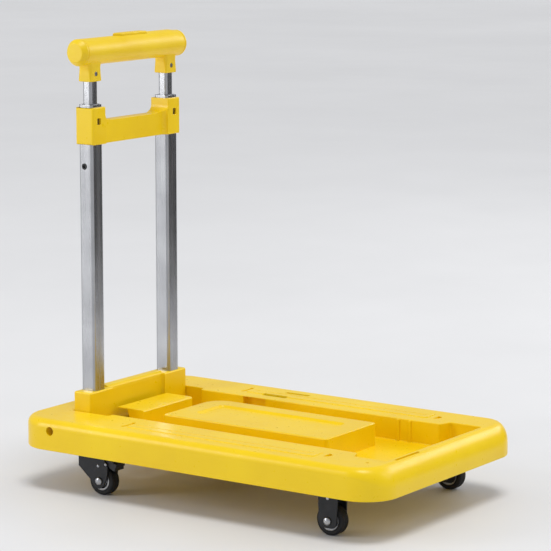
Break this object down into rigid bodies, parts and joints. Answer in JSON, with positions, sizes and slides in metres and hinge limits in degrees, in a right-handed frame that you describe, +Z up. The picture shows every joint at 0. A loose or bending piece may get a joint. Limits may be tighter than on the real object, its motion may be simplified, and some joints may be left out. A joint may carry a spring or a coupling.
{
  "type": "folding platform cart",
  "caption": "Small moulded platform cart on casters, with a telescopic twin-tube handle that folds forward into a well in the deck.",
  "frame": {"origin": "on the floor, under the middle of the deck", "axes": "+X to the front (the end away from the handle), +Y to the left seen from behind the handle, +Z up"},
  "size_m": [0.4348, 0.2674, 0.454],
  "materials": {
    "yellow_plastic": "glossy moulded yellow plastic with a faint grain",
    "aluminium": "satin extruded aluminium, drawn along the tube",
    "black_steel": "black powder coated pressed steel",
    "black_rubber": "smooth black rubber tread",
    "zinc_steel": "bright zinc plated steel",
    "black_plastic": "matt black plastic",
    "grey_plastic": "matt grey plastic"
  },
  "bodies": {
    "deck": {"deck_shell": "yellow_plastic", "hinge_pin_right": "zinc_steel", "hinge_pin_left": "zinc_steel", "rear_right_plate": "black_steel", "front_right_fork": "black_steel", "front_right_axle": "zinc_steel", "rear_left_plate": "black_steel", "front_left_fork": "black_steel", "front_left_axle": "zinc_steel"},
    "pedal": {"lock_pedal": "yellow_plastic"},
    "handle": {"foot_bracket": "yellow_plastic", "collar_bracket": "yellow_plastic", "outer_tube_right": "aluminium", "lock_bush_right": "black_plastic", "outer_tube_left": "aluminium", "lock_bush_left": "black_plastic"},
    "middle_stage": {"middle_tube_right": "aluminium", "middle_tube_left": "aluminium"},
    "seats": {"spring_seat_right": "grey_plastic", "spring_seat_left": "grey_plastic"},
    "grip": {"grip_body": "yellow_plastic", "inner_tube_right": "aluminium", "stem_screw_right": "zinc_steel", "grip_cap_right": "yellow_plastic", "inner_tube_left": "aluminium", "stem_screw_left": "zinc_steel", "grip_cap_left": "yellow_plastic"},
    "button": {"thumb_button": "yellow_plastic"},
    "rear_right_swivel": {"rear_right_fork": "black_steel", "rear_right_axle": "zinc_steel"},
    "rear_right_wheel": {"rear_right_hub": "grey_plastic", "rear_right_tyre": "black_rubber"},
    "rear_right_brake": {"rear_right_brake": "black_plastic"},
    "front_right_wheel": {"front_right_hub": "grey_plastic", "front_right_tyre": "black_rubber"},
    "rear_left_swivel": {"rear_left_fork": "black_steel", "rear_left_axle": "zinc_steel"},
    "rear_left_wheel": {"rear_left_hub": "grey_plastic", "rear_left_tyre": "black_rubber"},
    "rear_left_brake": {"rear_left_brake": "black_plastic"},
    "front_left_wheel": {"front_left_hub": "grey_plastic", "front_left_tyre": "black_rubber"}
  },
  "joints": [
    {"name": "handle_fold", "type": "hinge", "parent": "deck", "child": "handle", "pos_m": [-0.171, 0, 0.0625], "axis": [0, -1, 0], "range_deg": [-90, 0]},
    {"name": "pedal_press", "type": "slide", "parent": "deck", "child": "pedal", "axis": [0, 0, 1], "range_m": [-0.0195, 0]},
    {"name": "middle_slide", "type": "slide", "parent": "handle", "child": "middle_stage", "axis": [0, 0, 1], "range_m": [0, 0.24]},
    {"name": "seat_slide", "type": "slide", "parent": "middle_stage", "child": "seats", "axis": [0, 0, 1], "range_m": [-0.023, 0]},
    {"name": "grip_slide", "type": "slide", "parent": "seats", "child": "grip", "axis": [0, 0, 1], "range_m": [0, 0.21]},
    {"name": "button_press", "type": "slide", "parent": "grip", "child": "button", "axis": [0, 0, 1], "range_m": [-0.003, 0], "stiffness_N_per_m": 600},
    {"name": "rear_right_swivel", "type": "hinge", "parent": "deck", "child": "rear_right_swivel", "pos_m": [-0.133, -0.108, 0.044], "axis": [0, 0, 1], "continuous": true},
    {"name": "rear_right_spin", "type": "hinge", "parent": "rear_right_swivel", "child": "rear_right_wheel", "pos_m": [-0.1217, -0.108, 0.015], "axis": [0, 1, 0], "continuous": true},
    {"name": "rear_right_brake", "type": "hinge", "parent": "rear_right_swivel", "child": "rear_right_brake", "pos_m": [-0.1197, -0.108, 0.035], "axis": [0, 1, 0], "range_deg": [0, 12]},
    {"name": "front_right_spin", "type": "hinge", "parent": "deck", "child": "front_right_wheel", "pos_m": [0.152, -0.108, 0.015], "axis": [0, 1, 0], "continuous": true},
    {"name": "rear_left_swivel", "type": "hinge", "parent": "deck", "child": "rear_left_swivel", "pos_m": [-0.133, 0.108, 0.044], "axis": [0, 0, 1], "continuous": true},
    {"name": "rear_left_spin", "type": "hinge", "parent": "rear_left_swivel", "child": "rear_left_wheel", "pos_m": [-0.1217, 0.108, 0.015], "axis": [0, 1, 0], "continuous": true},
    {"name": "rear_left_brake", "type": "hinge", "parent": "rear_left_swivel", "child": "rear_left_brake", "pos_m": [-0.1197, 0.108, 0.035], "axis": [0, 1, 0], "range_deg": [0, 12]},
    {"name": "front_left_spin", "type": "hinge", "parent": "deck", "child": "front_left_wheel", "pos_m": [0.152, 0.108, 0.015], "axis": [0, 1, 0], "continuous": true}
  ],
  "couplings": [
    {"joint": "pedal_press", "follows": "handle_fold", "m_per_rad": 0.012413},
    {"joint": "seat_slide", "follows": "handle_fold", "m_per_rad": 0.014641}
  ]
}
